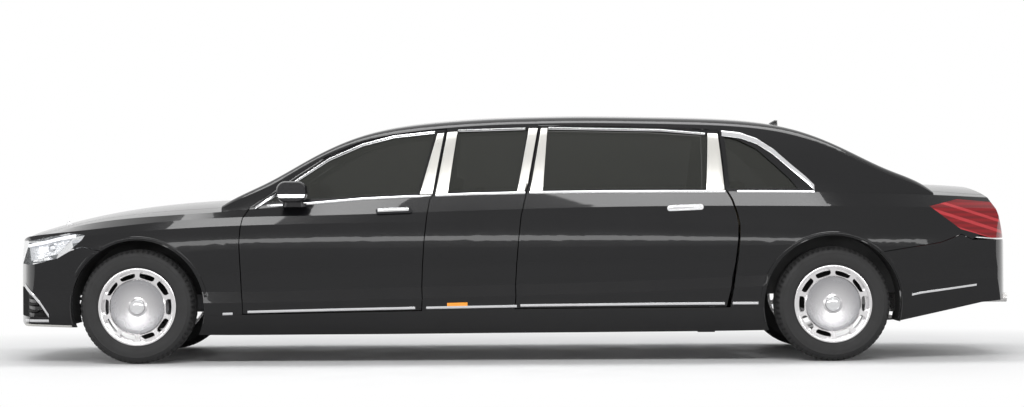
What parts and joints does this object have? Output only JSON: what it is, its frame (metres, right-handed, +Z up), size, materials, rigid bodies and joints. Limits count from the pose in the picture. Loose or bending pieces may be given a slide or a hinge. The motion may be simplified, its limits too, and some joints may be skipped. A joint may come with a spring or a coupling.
{
  "type": "stretch limousine",
  "caption": "Long black executive limousine with an extra fixed panel between its doors, dark glass, bright trim and polished forged wheels.",
  "frame": {"origin": "centre of the footprint, on the ground under the middle of the car", "axes": "+X towards the rear, +Y towards the car's right side, +Z up"},
  "size_m": [6.5, 2.09, 1.5909],
  "materials": {
    "paint": "gloss",
    "dark_glass": "polished",
    "clear_glass": "polished",
    "lamp_lens": "polished",
    "red_lens": "polished",
    "chrome": "polished",
    "alloy": "polished",
    "tyre": "matte",
    "black_trim": "satin",
    "underbody": "matte",
    "cast_metal": "rough",
    "steel": "brushed",
    "leather": "satin"
  },
  "bodies": {
    "body": {"fixed_side_glass": "dark_glass", "windscreen": "clear_glass", "rear_window": "dark_glass", "roof_panel": "paint", "headlamps": "lamp_lens", "tail_lamps": "red_lens", "front_bumper": "paint", "rear_bumper": "paint", "grille": "chrome", "front_fenders": "paint", "rear_quarters": "paint", "middle_panels": "paint", "cowl_panel": "black_trim", "sills": "paint", "floor_pan": "underbody", "wheelhouses": "underbody", "parcel_shelf": "black_trim", "engine_block": "cast_metal", "front_suspension": "underbody", "rear_axle": "underbody", "front_seats": "leather", "rear_seats": "leather", "jump_seats": "leather", "partition": "black_trim", "dashboard": "black_trim", "steering_column": "black_trim", "exhaust": "steel", "front_intakes": "black_trim", "door_seals": "black_trim", "antenna_fin": "paint"},
    "bonnet": {"bonnet": "paint"},
    "boot_lid": {"boot_lid": "paint"},
    "knuckle_left": {"knuckle_left": "cast_metal"},
    "knuckle_right": {"knuckle_right": "cast_metal"},
    "steering_wheel": {"steering_wheel": "black_trim"},
    "door_front_left": {"door_front_left": "paint", "glass_front_left": "dark_glass", "mirror_handle_left": "black_trim"},
    "wheel_front_left": {"tyre_front_left": "tyre", "rim_front_left": "alloy"},
    "door_front_right": {"door_front_right": "paint", "glass_front_right": "dark_glass", "mirror_handle_right": "black_trim"},
    "wheel_front_right": {"tyre_front_right": "tyre", "rim_front_right": "alloy"},
    "door_rear_left": {"door_rear_left": "paint", "glass_rear_left": "dark_glass", "handle_rear_left": "chrome"},
    "wheel_rear_left": {"tyre_rear_left": "tyre", "rim_rear_left": "alloy"},
    "door_rear_right": {"door_rear_right": "paint", "glass_rear_right": "dark_glass", "handle_rear_right": "chrome"},
    "wheel_rear_right": {"tyre_rear_right": "tyre", "rim_rear_right": "alloy"}
  },
  "joints": [
    {"name": "steer_left", "type": "hinge", "parent": "body", "child": "knuckle_left", "pos_m": [-2.382, -0.75, 0.364], "axis": [0, 0, 1], "range_deg": [-35, 35]},
    {"name": "wheel_front_left_spin", "type": "hinge", "parent": "knuckle_left", "child": "wheel_front_left", "pos_m": [-2.382, -0.81, 0.364], "axis": [0, 1, 0], "continuous": true},
    {"name": "wheel_rear_left_spin", "type": "hinge", "parent": "body", "child": "wheel_rear_left", "pos_m": [2.036, -0.81, 0.364], "axis": [0, 1, 0], "continuous": true},
    {"name": "door_front_left_swing", "type": "hinge", "parent": "body", "child": "door_front_left", "pos_m": [-1.722, -0.955, 0.7], "axis": [0, 0, -1], "range_deg": [0, 68]},
    {"name": "door_rear_left_swing", "type": "hinge", "parent": "body", "child": "door_rear_left", "pos_m": [0.036, -0.955, 0.7], "axis": [0, 0, -1], "range_deg": [0, 70]},
    {"name": "steer_right", "type": "hinge", "parent": "body", "child": "knuckle_right", "pos_m": [-2.382, 0.75, 0.364], "axis": [0, 0, 1], "range_deg": [-35, 35]},
    {"name": "wheel_front_right_spin", "type": "hinge", "parent": "knuckle_right", "child": "wheel_front_right", "pos_m": [-2.382, 0.81, 0.364], "axis": [0, 1, 0], "continuous": true},
    {"name": "wheel_rear_right_spin", "type": "hinge", "parent": "body", "child": "wheel_rear_right", "pos_m": [2.036, 0.81, 0.364], "axis": [0, 1, 0], "continuous": true},
    {"name": "door_front_right_swing", "type": "hinge", "parent": "body", "child": "door_front_right", "pos_m": [-1.722, 0.955, 0.7], "axis": [0, 0, 1], "range_deg": [0, 68]},
    {"name": "door_rear_right_swing", "type": "hinge", "parent": "body", "child": "door_rear_right", "pos_m": [0.036, 0.955, 0.7], "axis": [0, 0, 1], "range_deg": [0, 70]},
    {"name": "bonnet_lift", "type": "hinge", "parent": "body", "child": "bonnet", "pos_m": [-1.857, 0, 1.047], "axis": [0, 1, 0], "range_deg": [0, 50]},
    {"name": "boot_lift", "type": "hinge", "parent": "body", "child": "boot_lid", "pos_m": [2.613, 0, 1.146], "axis": [0, -1, 0], "range_deg": [0, 75]},
    {"name": "steering_wheel_turn", "type": "hinge", "parent": "body", "child": "steering_wheel", "pos_m": [-1.23, -0.37, 0.85], "axis": [0.9135, 0, 0.4067], "range_deg": [-455, 455]}
  ],
  "couplings": [
    {"joint": "steer_right", "follows": "steer_left", "ratio": 1},
    {"joint": "steering_wheel_turn", "follows": "steer_left", "ratio": 13}
  ]
}
